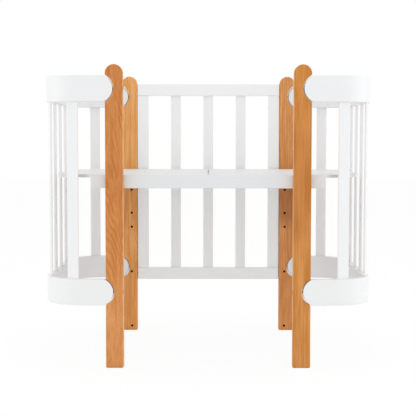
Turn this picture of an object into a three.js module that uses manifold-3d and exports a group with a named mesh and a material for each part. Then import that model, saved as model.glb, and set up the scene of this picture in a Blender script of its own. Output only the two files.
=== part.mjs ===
// Convertible crib with its front side taken off: four flat wooden posts with round tops,
// bent bows with upright slats at both ends, a slatted back panel and a height-set base.
// Millimetres, +Z up. The origin is on the floor under the middle; the open front faces -Y.
import * as THREE from 'three';
import { mergeVertices } from 'three/addons/utils/BufferGeometryUtils.js';
import Module from 'manifold-3d';

const wasm = await Module();
wasm.setup();

// Posts
const POST_HEIGHT = 870;
const POST_WIDTH = 51;
const POST_THICKNESS = 28;
const POST_SPAN = 588; // over the outer edges of the left and right posts
const CRIB_DEPTH = 624; // over the outer faces of the front and back posts
const POST_FOOT_RADIUS = 4;
const EDGE_CHAMFER = 2;

// Bows, the bent bands that close the ends
const BOW_HEIGHT = 75;
const BOW_THICKNESS = 22;
const BOW_STRAIGHT = 67; // from the post's outer edge to the start of the corner
const BOW_CORNER_RADIUS = 115; // outer face
const TOP_BOW_DROP = 68; // post top to the middle of the top bow
const BOTTOM_BOW_RISE = 219; // floor to the middle of the bottom bow
const NOSE_BULGE = 26; // how far the round nose stands out beyond its two corners
const NOSE_SEAT = 22; // how far the nose reaches into the post
const NOSE_GAP = 2; // shadow gap between the nose and its notch
const NOTCH_EASE = 2.5; // rounding of the notch at both faces of the post

// Slats
const SLAT_WIDTH = 34;
const SLAT_THICKNESS = 7;
const SLAT_EDGE_RADIUS = 3;
const END_SLAT_COUNT = 7;
const BOW_MORTISE_DEPTH = 20;

// Back panel
const PANEL_TOP_DROP = 25; // post top to the top of the panel
const PANEL_BOTTOM_RISE = 177; // floor to the bottom of the panel
const PANEL_RAIL_HEIGHT = 40;
const PANEL_THICKNESS = 20;
const STILE_WIDTH = 38.5;
const PANEL_SLAT_COUNT = 3;
const PANEL_MORTISE_DEPTH = 12;
const PANEL_DOWEL_DIAMETER = 8;
const DOWEL_IN_POST = 14;
const DOWEL_IN_RAIL = 22;

// Base that carries the mattress
const RAIL_HEIGHT = 39;
const RAIL_THICKNESS = 22;
const RAIL_OVERHANG = 44; // rail end beyond the post's outer edge
const BOARD_THICKNESS = 9;
const BOARD_END_CLEARANCE = 3.5; // board end to the inner face of the bows
const BOARD_EDGE_CLEARANCE = 0.5;
const BOARD_CORNER_RADIUS = 115;
const BOARD_SEAM = 2; // between the two halves

// Heights of the base: shares of the way from the bottom bow to the top bow, highest first
const LEVEL_SHARES = [0.5446, 0.4563, 0.3208, 0.2384];
const LOWEST_LEVEL_DROP = 15; // lowest level below the middle of the bottom bow
const FOOT_HOLE_RISE = 16;
const LEVEL_HOLE_OFFSET = 6.5; // from the post's middle line towards the crib's middle
const LEVEL_HOLE_DIAMETER = 8;
const LEVEL_HOLE_DEPTH = 20;

// Bolts, inserts and dowels
const BOLT_DIAMETER = 6;
const BOLT_HEAD_DIAMETER = 12;
const BOLT_HEAD_HEIGHT = 4;
const HEX_KEY = 4; // across flats
const HEX_DEPTH = 2.5;
const BASE_BOLT_GRIP = 15; // length of the base bolt in the post when screwed home
const BASE_BOLT_CLEAR = 2; // tip behind the post's face when backed out
const BOW_BOLT_RECESS = 8;
const BOW_BOLT_GRIP = 22; // length of the bow bolt in the nose
const INSERT_DIAMETER = 10;
const INSERT_LENGTH = 14;
const INSERT_SET_BACK = 2; // insert behind the tip of the nose
const BORE_SPARE = 4; // bore beyond the tip of a bolt

const FIT = 0.3; // gap between pieces that touch on the real crib
const OVERRUN = 10; // cutters run past the faces that they cut
const ROUND_STEPS = 10; // steps on a half circle
const HOLE_SIDES = 10;

// Places worked out from the sizes
const postX = (POST_SPAN - POST_WIDTH) / 2;
const postY = (CRIB_DEPTH - POST_THICKNESS) / 2;
const postOuterX = POST_SPAN / 2;
const postInnerX = postOuterX - POST_WIDTH;
const postInnerY = CRIB_DEPTH / 2 - POST_THICKNESS;
const topBowZ = POST_HEIGHT - TOP_BOW_DROP;
const bowCornerX = postOuterX + BOW_STRAIGHT;
const bowCornerY = CRIB_DEPTH / 2 - BOW_CORNER_RADIUS;
const bowEndX = bowCornerX + BOW_CORNER_RADIUS;
const bowMiddleY = (CRIB_DEPTH - BOW_THICKNESS) / 2;
const noseRadius = ((BOW_HEIGHT / 2) ** 2 + NOSE_BULGE ** 2) / (2 * NOSE_BULGE);
const noseTipX = postOuterX - NOSE_SEAT;
const noseCentreX = noseTipX + noseRadius;
const panelMiddleZ = (POST_HEIGHT - PANEL_TOP_DROP + PANEL_BOTTOM_RISE) / 2;
const panelHeight = POST_HEIGHT - PANEL_TOP_DROP - PANEL_BOTTOM_RISE;
const panelWidth = 2 * (postInnerX - FIT);
const levelHoleX = postX - LEVEL_HOLE_OFFSET;
const levels = LEVEL_SHARES.map((share) => BOTTOM_BOW_RISE + share * (topBowZ - BOTTOM_BOW_RISE));
const lowestLevel = BOTTOM_BOW_RISE - LOWEST_LEVEL_DROP;
const railZ = levels[0];
const railY = postInnerY - FIT - RAIL_THICKNESS / 2;
const railLength = POST_SPAN + 2 * RAIL_OVERHANG;
const boardTopZ = railZ + RAIL_HEIGHT / 2;
const boardBottomZ = boardTopZ - BOARD_THICKNESS;
const boardHalfWidth = railY - RAIL_THICKNESS / 2 - BOARD_EDGE_CLEARANCE;
const boardEndX = bowEndX - BOW_THICKNESS - BOARD_END_CLEARANCE;
const baseBoltTravel = BASE_BOLT_GRIP + BASE_BOLT_CLEAR;

// Materials
const beech = new THREE.MeshStandardMaterial({ color: 0xc98a52, roughness: 0.45, metalness: 0 });
const whiteLacquer = new THREE.MeshStandardMaterial({ color: 0xf1f1f0, roughness: 0.4, metalness: 0 });
const whiteBoard = new THREE.MeshStandardMaterial({ color: 0xe9e8e4, roughness: 0.5, metalness: 0 });
const bareBeech = new THREE.MeshStandardMaterial({ color: 0xdab98a, roughness: 0.7, metalness: 0 });
const darkZinc = new THREE.MeshStandardMaterial({ color: 0x55565a, roughness: 0.4, metalness: 1 });

const crib = new THREE.Group();

// Adds one named piece at a place, turned about the vertical by an angle.
function addPiece(name, geometry, material, x, y, z, turn = 0) {
  const piece = new THREE.Mesh(geometry, material);
  piece.name = name;
  piece.position.set(x, y, z);
  piece.rotation.z = turn;
  crib.add(piece);
}

// Turns a closed geometry into a solid that can be cut.
function solidOf(geometry) {
  const bare = geometry.clone();
  bare.deleteAttribute('normal');
  bare.deleteAttribute('uv');
  const merged = mergeVertices(bare);
  const mesh = new wasm.Mesh({
    numProp: 3,
    vertProperties: new Float32Array(merged.attributes.position.array),
    triVerts: new Uint32Array(merged.index.array),
  });
  return new wasm.Manifold(mesh);
}

// Turns a cut solid back into a geometry.
function geometryOf(solid) {
  const mesh = solid.getMesh();
  const points = new Float32Array(mesh.numVert * 3);
  for (let i = 0; i < mesh.numVert; i += 1) {
    for (let k = 0; k < 3; k += 1) {
      points[3 * i + k] = mesh.vertProperties[i * mesh.numProp + k];
    }
  }
  const geometry = new THREE.BufferGeometry();
  geometry.setAttribute('position', new THREE.BufferAttribute(points, 3));
  geometry.setIndex(new THREE.BufferAttribute(new Uint32Array(mesh.triVerts), 1));
  geometry.computeVertexNormals();
  return geometry;
}

// Points on an arc, both ends included.
function arc(x, y, radius, from, to, steps) {
  const points = [];
  for (let i = 0; i <= steps; i += 1) {
    const angle = from + ((to - from) * i) / steps;
    points.push(new THREE.Vector2(x + radius * Math.cos(angle), y + radius * Math.sin(angle)));
  }
  return points;
}

// A rectangle about the origin with round corners.
function roundedRectangle(width, height, radius, steps) {
  const x = width / 2 - radius;
  const y = height / 2 - radius;
  const quarter = Math.PI / 2;
  return new THREE.Shape([
    ...arc(x, -y, radius, -quarter, 0, steps),
    ...arc(x, y, radius, 0, quarter, steps),
    ...arc(-x, y, radius, quarter, 2 * quarter, steps),
    ...arc(-x, -y, radius, 2 * quarter, 3 * quarter, steps),
  ]);
}

// An outline pulled up along +Z from zero, with chamfered rims where asked.
function pulled(shape, height, chamfer = 0) {
  return new THREE.ExtrudeGeometry(shape, {
    depth: height - 2 * chamfer,
    bevelEnabled: chamfer > 0,
    bevelThickness: chamfer,
    bevelSize: chamfer,
    bevelOffset: -chamfer,
    bevelSegments: 1,
    steps: 1,
  }).translate(0, 0, chamfer);
}

// A plain bar about the origin, long along X, with chamfered long edges.
function bar(length, depth, height) {
  const y = depth / 2;
  const z = height / 2;
  const c = EDGE_CHAMFER;
  const section = new THREE.Shape([
    new THREE.Vector2(-y + c, -z), new THREE.Vector2(y - c, -z),
    new THREE.Vector2(y, -z + c), new THREE.Vector2(y, z - c),
    new THREE.Vector2(y - c, z), new THREE.Vector2(-y + c, z),
    new THREE.Vector2(-y, z - c), new THREE.Vector2(-y, -z + c),
  ]);
  return pulled(section, length).translate(0, 0, -length / 2).rotateZ(Math.PI / 2).rotateY(Math.PI / 2);
}

// A round rod from one place to another along X, Y or Z, for bores and shanks.
function rod(radius, from, to) {
  const start = new THREE.Vector3(...from);
  const run = new THREE.Vector3(...to).sub(start);
  const length = run.length();
  const geometry = new THREE.CylinderGeometry(radius, radius, length, HOLE_SIDES);
  geometry.translate(0, length / 2, 0);
  const turn = new THREE.Quaternion().setFromUnitVectors(new THREE.Vector3(0, 1, 0), run.normalize());
  return solidOf(geometry.applyQuaternion(turn).translate(start.x, start.y, start.z));
}

// A bolt along +Z: the shank starts at zero under the head, and the head has a hexagon socket.
function bolt(shankLength) {
  const shank = BOLT_DIAMETER / 2;
  const head = BOLT_HEAD_DIAMETER / 2;
  const rim = EDGE_CHAMFER / 2;
  const profile = [
    new THREE.Vector2(0, -BOLT_HEAD_HEIGHT), new THREE.Vector2(head - rim, -BOLT_HEAD_HEIGHT),
    new THREE.Vector2(head, -BOLT_HEAD_HEIGHT + rim), new THREE.Vector2(head, 0),
    new THREE.Vector2(shank, 0), new THREE.Vector2(shank, shankLength - rim),
    new THREE.Vector2(shank - rim, shankLength), new THREE.Vector2(0, shankLength),
  ];
  const body = solidOf(new THREE.LatheGeometry(profile, HOLE_SIDES).rotateX(Math.PI / 2));
  const socket = new THREE.CylinderGeometry(HEX_KEY / Math.sqrt(3), HEX_KEY / Math.sqrt(3), 2 * HEX_DEPTH, 6);
  return geometryOf(body.subtract(solidOf(socket.rotateX(Math.PI / 2).translate(0, 0, -BOLT_HEAD_HEIGHT))));
}

// Cutter for the notch that takes a bow's nose, its axis along Y through the origin.
// It flares at both faces of the post, so the notch has eased edges.
function notchCutter() {
  const radius = noseRadius + NOSE_GAP;
  const half = POST_THICKNESS / 2;
  const profile = [
    new THREE.Vector2(0, -half - OVERRUN), new THREE.Vector2(radius + NOTCH_EASE, -half - OVERRUN),
    new THREE.Vector2(radius + NOTCH_EASE, -half), new THREE.Vector2(radius, -half + NOTCH_EASE),
    new THREE.Vector2(radius, half - NOTCH_EASE), new THREE.Vector2(radius + NOTCH_EASE, half),
    new THREE.Vector2(radius + NOTCH_EASE, half + OVERRUN), new THREE.Vector2(0, half + OVERRUN),
  ];
  return solidOf(new THREE.LatheGeometry(profile, 4 * ROUND_STEPS));
}

// Post: a flat board with a round top, notched twice on its outer edge for the bows.
// sideX is -1 left or 1 right, and sideY is -1 front or 1 back.
function post(sideX, sideY) {
  const half = POST_WIDTH / 2;
  const foot = POST_FOOT_RADIUS;
  const outline = new THREE.Shape([
    ...arc(-half + foot, foot, foot, Math.PI, 1.5 * Math.PI, 3),
    ...arc(half - foot, foot, foot, 1.5 * Math.PI, 2 * Math.PI, 3),
    ...arc(0, POST_HEIGHT - half, half, 0, Math.PI, ROUND_STEPS),
  ]);
  const blank = pulled(outline, POST_THICKNESS, EDGE_CHAMFER);
  let solid = solidOf(blank.translate(0, 0, -POST_THICKNESS / 2).rotateX(Math.PI / 2));

  for (const z of [topBowZ, BOTTOM_BOW_RISE]) {
    solid = solid.subtract(notchCutter().translate([sideX * (noseCentreX - postX), 0, z]));
  }

  // The bow bolts run through the post along X, at the middle of the bow's thickness.
  const boltY = sideY * (bowMiddleY - postY);
  const shankBore = BOLT_DIAMETER / 2 + FIT;
  const headBore = BOLT_HEAD_DIAMETER / 2 + FIT;
  for (const z of [topBowZ, BOTTOM_BOW_RISE]) {
    const inner = -sideX * half;
    solid = solid.subtract(rod(shankBore, [inner, boltY, z], [sideX * half, boltY, z]));
    solid = solid.subtract(rod(
      headBore,
      [inner - sideX * OVERRUN, boltY, z],
      [inner + sideX * BOW_BOLT_RECESS, boltY, z],
    ));
  }

  // Blind holes for the base bolts, one for each level, and one more near the foot.
  const holeX = sideX * (levelHoleX - postX);
  const innerY = -sideY * POST_THICKNESS / 2;
  for (const z of [...levels, lowestLevel, FOOT_HOLE_RISE]) {
    const mouth = [holeX, innerY - sideY * OVERRUN, z];
    const end = [holeX, innerY + sideY * LEVEL_HOLE_DEPTH, z];
    solid = solid.subtract(rod(LEVEL_HOLE_DIAMETER / 2, mouth, end));
  }

  // The back posts also take the dowels of the back panel.
  if (sideY > 0) {
    const inner = -sideX * half;
    for (const z of dowelHeights()) {
      const mouth = [inner - sideX * OVERRUN, 0, z];
      const end = [inner + sideX * (DOWEL_IN_POST + FIT), 0, z];
      solid = solid.subtract(rod(PANEL_DOWEL_DIAMETER / 2 + FIT, mouth, end));
    }
  }
  return geometryOf(solid);
}

// Heights of the dowels, in the middle of the panel's two rails.
function dowelHeights() {
  const reach = (panelHeight - PANEL_RAIL_HEIGHT) / 2;
  return [panelMiddleZ + reach, panelMiddleZ - reach];
}

// Place on the middle line of a right-hand bow, a distance on from the front post's outer edge.
function bowPlace(distance) {
  const radius = BOW_CORNER_RADIUS - BOW_THICKNESS / 2;
  const quarter = (radius * Math.PI) / 2;
  const half = BOW_STRAIGHT + quarter + bowCornerY;
  const mirrored = distance > half;
  const run = mirrored ? 2 * half - distance : distance;
  const place = { x: postOuterX + run, y: -bowMiddleY, turn: 0 };
  if (run > BOW_STRAIGHT + quarter) {
    place.x = bowCornerX + radius;
    place.y = -bowCornerY + run - BOW_STRAIGHT - quarter;
    place.turn = Math.PI / 2;
  } else if (run > BOW_STRAIGHT) {
    place.turn = (run - BOW_STRAIGHT) / radius;
    place.x = bowCornerX + radius * Math.sin(place.turn);
    place.y = -bowCornerY - radius * Math.cos(place.turn);
  }
  if (mirrored) {
    place.y = -place.y;
    place.turn = Math.PI - place.turn;
  }
  return place;
}

// Slats stand along the bow with equal gaps between the two posts.
function endSlatPlaces() {
  const radius = BOW_CORNER_RADIUS - BOW_THICKNESS / 2;
  const length = 2 * (BOW_STRAIGHT + (radius * Math.PI) / 2 + bowCornerY);
  const gap = (length - END_SLAT_COUNT * SLAT_WIDTH) / (END_SLAT_COUNT + 1);
  const places = [];
  for (let i = 0; i < END_SLAT_COUNT; i += 1) {
    places.push(bowPlace(gap + SLAT_WIDTH / 2 + i * (gap + SLAT_WIDTH)));
  }
  return places;
}

// Right-hand bow about its own mid-height, its mortises opening towards mortiseSide, -1 down or 1 up.
function bow(mortiseSide) {
  const inner = BOW_CORNER_RADIUS - BOW_THICKNESS;
  const quarter = Math.PI / 2;
  const outline = new THREE.Shape([
    new THREE.Vector2(noseTipX, -CRIB_DEPTH / 2),
    ...arc(bowCornerX, -bowCornerY, BOW_CORNER_RADIUS, -quarter, 0, ROUND_STEPS),
    ...arc(bowCornerX, bowCornerY, BOW_CORNER_RADIUS, 0, quarter, ROUND_STEPS),
    new THREE.Vector2(noseTipX, CRIB_DEPTH / 2),
    new THREE.Vector2(noseTipX, CRIB_DEPTH / 2 - BOW_THICKNESS),
    ...arc(bowCornerX, bowCornerY, inner, quarter, 0, ROUND_STEPS),
    ...arc(bowCornerX, -bowCornerY, inner, 0, -quarter, ROUND_STEPS),
    new THREE.Vector2(noseTipX, -CRIB_DEPTH / 2 + BOW_THICKNESS),
  ]);
  const band = solidOf(pulled(outline, BOW_HEIGHT, EDGE_CHAMFER).translate(0, 0, -BOW_HEIGHT / 2));

  // Seen from the front, both ends of the band finish in a round nose.
  const swing = Math.asin(BOW_HEIGHT / 2 / noseRadius);
  const side = new THREE.Shape([
    new THREE.Vector2(bowEndX + OVERRUN, BOW_HEIGHT / 2),
    ...arc(noseCentreX, 0, noseRadius, Math.PI - swing, Math.PI + swing, ROUND_STEPS),
    new THREE.Vector2(bowEndX + OVERRUN, -BOW_HEIGHT / 2),
  ]);
  const width = CRIB_DEPTH + 2 * OVERRUN;
  const profile = pulled(side, width).translate(0, 0, -width / 2).rotateX(Math.PI / 2);
  let solid = band.intersect(solidOf(profile));

  const pocket = solidOf(pulled(
    roundedRectangle(SLAT_WIDTH + 2 * FIT, SLAT_THICKNESS + 2 * FIT, SLAT_EDGE_RADIUS + FIT, 2),
    BOW_MORTISE_DEPTH + OVERRUN,
  ));
  const pocketZ = mortiseSide > 0 ? BOW_HEIGHT / 2 - BOW_MORTISE_DEPTH : -BOW_HEIGHT / 2 - OVERRUN;
  for (const place of endSlatPlaces()) {
    const turned = pocket.rotate([0, 0, THREE.MathUtils.radToDeg(place.turn)]);
    solid = solid.subtract(turned.translate([place.x, place.y, pocketZ]));
  }

  // Bores for the insert and the tip of the bolt, along X into both noses.
  const insertEnd = noseTipX + INSERT_SET_BACK + INSERT_LENGTH + FIT;
  const boltEnd = noseTipX + BOW_BOLT_GRIP + BORE_SPARE;
  for (const y of [-bowMiddleY, bowMiddleY]) {
    const mouth = [noseTipX - OVERRUN, y, 0];
    solid = solid.subtract(rod(INSERT_DIAMETER / 2 + FIT, mouth, [insertEnd, y, 0]));
    solid = solid.subtract(rod(BOLT_DIAMETER / 2 + FIT, mouth, [boltEnd, y, 0]));
  }
  return geometryOf(solid);
}

// Slat: a flat bar with round edges, standing from zero up.
function slat(length) {
  return pulled(roundedRectangle(SLAT_WIDTH, SLAT_THICKNESS, SLAT_EDGE_RADIUS, 2), length);
}

// Threaded insert: a sleeve along +X from zero.
function insert() {
  const sleeve = rod(INSERT_DIAMETER / 2, [0, 0, 0], [INSERT_LENGTH, 0, 0]);
  return geometryOf(sleeve.subtract(rod(BOLT_DIAMETER / 2 + FIT, [-OVERRUN, 0, 0], [INSERT_LENGTH + OVERRUN, 0, 0])));
}

// Rail of the back panel about its own middle, with mortises for the slats on one edge
// and a dowel hole in each end. mortiseSide is -1 on its lower edge or 1 on its upper edge.
function panelRail(mortiseSide) {
  let solid = solidOf(bar(panelWidth, PANEL_THICKNESS, PANEL_RAIL_HEIGHT));
  const pocket = solidOf(pulled(
    roundedRectangle(SLAT_WIDTH + 2 * FIT, SLAT_THICKNESS + 2 * FIT, SLAT_EDGE_RADIUS + FIT, 2),
    PANEL_MORTISE_DEPTH + OVERRUN,
  ));
  const half = PANEL_RAIL_HEIGHT / 2;
  const pocketZ = mortiseSide > 0 ? half - PANEL_MORTISE_DEPTH : -half - OVERRUN;
  for (const x of panelSlatPlaces()) {
    solid = solid.subtract(pocket.translate([x, 0, pocketZ]));
  }
  const boreRadius = PANEL_DOWEL_DIAMETER / 2 + FIT;
  for (const side of [-1, 1]) {
    const mouth = [side * (panelWidth / 2 + OVERRUN), 0, 0];
    const end = [side * (panelWidth / 2 - DOWEL_IN_RAIL - FIT), 0, 0];
    solid = solid.subtract(rod(boreRadius, mouth, end));
  }
  return geometryOf(solid);
}

// Slats of the back panel stand with equal gaps between the stiles.
function panelSlatPlaces() {
  const clear = panelWidth - 2 * STILE_WIDTH;
  const gap = (clear - PANEL_SLAT_COUNT * SLAT_WIDTH) / (PANEL_SLAT_COUNT + 1);
  const places = [];
  for (let i = 0; i < PANEL_SLAT_COUNT; i += 1) {
    places.push(-clear / 2 + gap + SLAT_WIDTH / 2 + i * (gap + SLAT_WIDTH));
  }
  return places;
}

// Long rail of the base about its own middle, bored along Y for its two bolts.
function longRail() {
  let solid = solidOf(bar(railLength, RAIL_THICKNESS, RAIL_HEIGHT));
  const reach = RAIL_THICKNESS / 2 + OVERRUN;
  for (const x of [-levelHoleX, levelHoleX]) {
    solid = solid.subtract(rod(BOLT_DIAMETER / 2 + FIT, [x, -reach, 0], [x, reach, 0]));
  }
  return geometryOf(solid);
}

// Right half of the mattress board from its bottom face up: straight at the seam, round at the end.
function boardHalf() {
  const x = boardEndX - BOARD_CORNER_RADIUS;
  const y = boardHalfWidth - BOARD_CORNER_RADIUS;
  const quarter = Math.PI / 2;
  return pulled(new THREE.Shape([
    new THREE.Vector2(BOARD_SEAM / 2, -boardHalfWidth),
    ...arc(x, -y, BOARD_CORNER_RADIUS, -quarter, 0, ROUND_STEPS),
    ...arc(x, y, BOARD_CORNER_RADIUS, 0, quarter, ROUND_STEPS),
    new THREE.Vector2(BOARD_SEAM / 2, boardHalfWidth),
  ]), BOARD_THICKNESS);
}

const sidesX = [['left', -1], ['right', 1]];
const sidesY = [['front', -1], ['back', 1]];
const bowLevels = [['top', topBowZ, -1], ['bottom', BOTTOM_BOW_RISE, 1]];

// Posts
for (const [nameY, sideY] of sidesY) {
  for (const [nameX, sideX] of sidesX) {
    addPiece(`post_${nameY}_${nameX}`, post(sideX, sideY), beech, sideX * postX, sideY * postY, 0);
  }
}

// Bows, with the insert and the bolt of each nose
const bowBoltHeadX = postInnerX + BOW_BOLT_RECESS - FIT;
const bowBoltLength = noseTipX + BOW_BOLT_GRIP - bowBoltHeadX;
for (const [level, z, mortiseSide] of bowLevels) {
  for (const [nameX, sideX] of sidesX) {
    const turn = sideX > 0 ? 0 : Math.PI;
    addPiece(`bow_${level}_${nameX}`, bow(mortiseSide), whiteLacquer, 0, 0, z, turn);
    for (const [nameY, sideY] of sidesY) {
      const end = `${level}_${nameY}_${nameX}`;
      const y = sideY * bowMiddleY;
      const insertX = sideX * (noseTipX + INSERT_SET_BACK);
      addPiece(`bow_insert_${end}`, insert(), darkZinc, insertX, y, z, turn);
      const shank = bolt(bowBoltLength).rotateY(Math.PI / 2);
      addPiece(`bow_bolt_${end}`, shank, darkZinc, sideX * bowBoltHeadX, y, z, turn);
    }
  }
}

// End slats, from the bottom of one mortise to the top of the other
const endSlatBottom = BOTTOM_BOW_RISE + BOW_HEIGHT / 2 - BOW_MORTISE_DEPTH + FIT;
const endSlatTop = topBowZ - BOW_HEIGHT / 2 + BOW_MORTISE_DEPTH - FIT;
for (const [nameX, sideX] of sidesX) {
  endSlatPlaces().forEach((place, i) => {
    const name = `end_slat_${nameX}_${i + 1}`;
    const turn = sideX * place.turn;
    addPiece(name, slat(endSlatTop - endSlatBottom), whiteLacquer, sideX * place.x, place.y, endSlatBottom, turn);
  });
}

// Back panel between the back posts
const panelRailReach = (panelHeight - PANEL_RAIL_HEIGHT) / 2;
const stileHeight = panelHeight - 2 * PANEL_RAIL_HEIGHT - 2 * FIT;
const panelSlatHeight = stileHeight + 2 * PANEL_MORTISE_DEPTH;
addPiece('panel_top_rail', panelRail(-1), whiteLacquer, 0, postY, panelMiddleZ + panelRailReach);
addPiece('panel_bottom_rail', panelRail(1), whiteLacquer, 0, postY, panelMiddleZ - panelRailReach);
for (const [nameX, sideX] of sidesX) {
  const stile = bar(stileHeight, PANEL_THICKNESS, STILE_WIDTH).rotateY(Math.PI / 2);
  addPiece(`panel_stile_${nameX}`, stile, whiteLacquer, sideX * (panelWidth - STILE_WIDTH) / 2, postY, panelMiddleZ);
  for (const [i, z] of dowelHeights().entries()) {
    const level = i === 0 ? 'top' : 'bottom';
    const dowel = geometryOf(rod(PANEL_DOWEL_DIAMETER / 2, [-DOWEL_IN_RAIL, 0, 0], [DOWEL_IN_POST, 0, 0]));
    const turn = sideX > 0 ? 0 : Math.PI;
    addPiece(`panel_dowel_${level}_${nameX}`, dowel, bareBeech, sideX * postInnerX, postY, z, turn);
  }
}
panelSlatPlaces().forEach((x, i) => {
  const z = panelMiddleZ - panelSlatHeight / 2;
  addPiece(`panel_slat_${i + 1}`, slat(panelSlatHeight), whiteLacquer, x, postY, z);
});

// Base frame: two long rails against the posts and three cross rails between them
const crossRailHeight = RAIL_HEIGHT - BOARD_THICKNESS - FIT;
const crossRailLength = 2 * (railY - RAIL_THICKNESS / 2 - FIT);
const crossRailZ = railZ - RAIL_HEIGHT / 2 + crossRailHeight / 2;
for (const [nameY, sideY] of sidesY) {
  addPiece(`base_${nameY}_rail`, longRail(), whiteLacquer, 0, sideY * railY, railZ);
}
for (const [name, side] of [['base_end_rail_left', -1], ['base_centre_rail', 0], ['base_end_rail_right', 1]]) {
  const rail = bar(crossRailLength, RAIL_THICKNESS, crossRailHeight).rotateZ(Math.PI / 2);
  addPiece(name, rail, whiteLacquer, side * (railLength - RAIL_THICKNESS) / 2, 0, crossRailZ);
}

// Mattress board in two halves
for (const [nameX, sideX] of sidesX) {
  addPiece(`mattress_board_${nameX}`, boardHalf(), whiteBoard, 0, 0, boardBottomZ, sideX > 0 ? 0 : Math.PI);
}

// Base bolts, backed out of the posts and held in their rails
const baseBoltLength = RAIL_THICKNESS + BASE_BOLT_GRIP + 2 * FIT;
const baseBoltHeadY = railY - RAIL_THICKNESS / 2 - FIT - baseBoltTravel;
for (const [nameY, sideY] of sidesY) {
  for (const [nameX, sideX] of sidesX) {
    const shank = bolt(baseBoltLength).rotateX(-sideY * Math.PI / 2);
    addPiece(`base_bolt_${nameY}_${nameX}`, shank, darkZinc, sideX * levelHoleX, sideY * baseBoltHeadY, railZ);
  }
}

export default crib;
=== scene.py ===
import math

import bmesh
import bpy
from mathutils import Matrix, Vector


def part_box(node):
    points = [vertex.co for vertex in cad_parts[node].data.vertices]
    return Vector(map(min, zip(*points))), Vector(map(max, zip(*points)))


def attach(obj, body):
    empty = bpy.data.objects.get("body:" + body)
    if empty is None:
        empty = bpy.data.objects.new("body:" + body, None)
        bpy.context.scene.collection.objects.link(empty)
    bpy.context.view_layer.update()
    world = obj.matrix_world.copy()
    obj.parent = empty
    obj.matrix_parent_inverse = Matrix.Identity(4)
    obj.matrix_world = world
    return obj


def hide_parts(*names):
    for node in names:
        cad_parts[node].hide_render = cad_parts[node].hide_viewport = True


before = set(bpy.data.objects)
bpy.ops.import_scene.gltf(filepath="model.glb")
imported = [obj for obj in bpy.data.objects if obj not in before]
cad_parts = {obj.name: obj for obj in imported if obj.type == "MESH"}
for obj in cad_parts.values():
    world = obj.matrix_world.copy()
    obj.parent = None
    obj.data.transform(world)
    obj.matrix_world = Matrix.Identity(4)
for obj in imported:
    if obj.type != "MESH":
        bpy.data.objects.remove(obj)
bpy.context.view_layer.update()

# Posts
# Four flat beech boards under clear lacquer stand at the corners and carry everything else.
# Each is sawn from one board with a round top and eased edges, and its outer edge has two
# round notches for the noses of the bows. Its bores are given here by their radius.
EDGE_STEPS = 3
POST_EDGE_ROUND = 0.0028
POST_EDGE_STEPS = 4
POST_FOOT_ROUND = 0.004
POST_FOOT_STEPS = 5
POST_TOP_STEPS = 48
NOTCH_STEPS = 28
NOTCH_GAP = 0.002
NOSE_BULGE = 0.026
BOW_THICKNESS = 0.022
BORE_SIDES = 28
BOLT_BORE = 0.0033
BOLT_HEAD_BORE = 0.0063
BOLT_HEAD_RECESS = 0.008
BORE_EASE = 0.0005
LEVEL_SHARES = (0.5446, 0.4563, 0.3208, 0.2384)
LOWEST_LEVEL_DROP = 0.015
FOOT_HOLE_RISE = 0.016
LEVEL_HOLE_OFFSET = 0.0065
LEVEL_HOLE_DEPTH = 0.020
LEVEL_HOLE_BORE = 0.0040
DOWEL_BORE = 0.0043
DOWEL_DEPTH = 0.0143
OVERRUN = 0.01
SKIN = 0.0001
HALF_TURN = math.pi
QUARTER_TURN = math.pi / 2
SHARP_ANGLE = math.radians(32)

# Sizes of the wood's figure in metres, and how often its noises repeat in a metre along
# X, Y and Z. A wave texture turns by WAVE_RATE radians in a unit.
RING_GAP = 0.0040
RING_WARP = 0.040
RING_FADE_HEIGHTS = (0.12, 0.38)
LOW_TONE_HEIGHT = 0.15
BAND_FADE = 0.03
WAVE_RATE = 20
WARP_RATE = (11, 11, 3.2)
FIBRE_RATE = (620, 620, 3.5)
STREAK_RATE = (120, 120, 1)
CLOUD_RATE = (30, 30, 6)
PATCH_RATE = (45, 45, 6)
FLECK_RATE = (1100, 1100, 160)
PORE_RATE = (1400, 1400, 1400)
WOOD_RELIEF = 0.0002


def middle_and_size(node):
    """Middle and size of a node of the CAD at rest."""
    low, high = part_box(node)
    return (low + high) / 2, high - low


def arc(x, y, radius, start, end, steps):
    """Points on an arc, both ends included."""
    angles = [start + (end - start) * i / steps for i in range(steps + 1)]
    return [(x + radius * math.cos(a), y + radius * math.sin(a)) for a in angles]


def new_piece(name, bm, round_by=0.0, round_steps=EDGE_STEPS):
    """Makes a body an object, with its sharp edges eased by a radius where one is given."""
    bmesh.ops.recalc_face_normals(bm, faces=bm.faces)
    if round_by:
        edges = [e for e in bm.edges if e.is_manifold and e.calc_face_angle() > SHARP_ANGLE]
        bmesh.ops.bevel(
            bm, geom=edges, offset=round_by, segments=round_steps, profile=0.5,
            affect="EDGES", clamp_overlap=True,
        )
    mesh = bpy.data.meshes.new(name)
    bm.to_mesh(mesh)
    bm.free()
    piece = bpy.data.objects.new(name, mesh)
    bpy.context.scene.collection.objects.link(piece)
    return piece


def slab(outline, place, depth):
    """A closed body between an outline and the same outline moved by depth."""
    bm = bmesh.new()
    near = [bm.verts.new(place(u, v)) for u, v in outline]
    far = [bm.verts.new(vertex.co + depth) for vertex in near]
    bm.faces.new(near)
    bm.faces.new(list(reversed(far)))
    for i, vertex in enumerate(near):
        j = (i + 1) % len(near)
        bm.faces.new((near[j], vertex, far[i], far[j]))
    return bm


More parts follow.
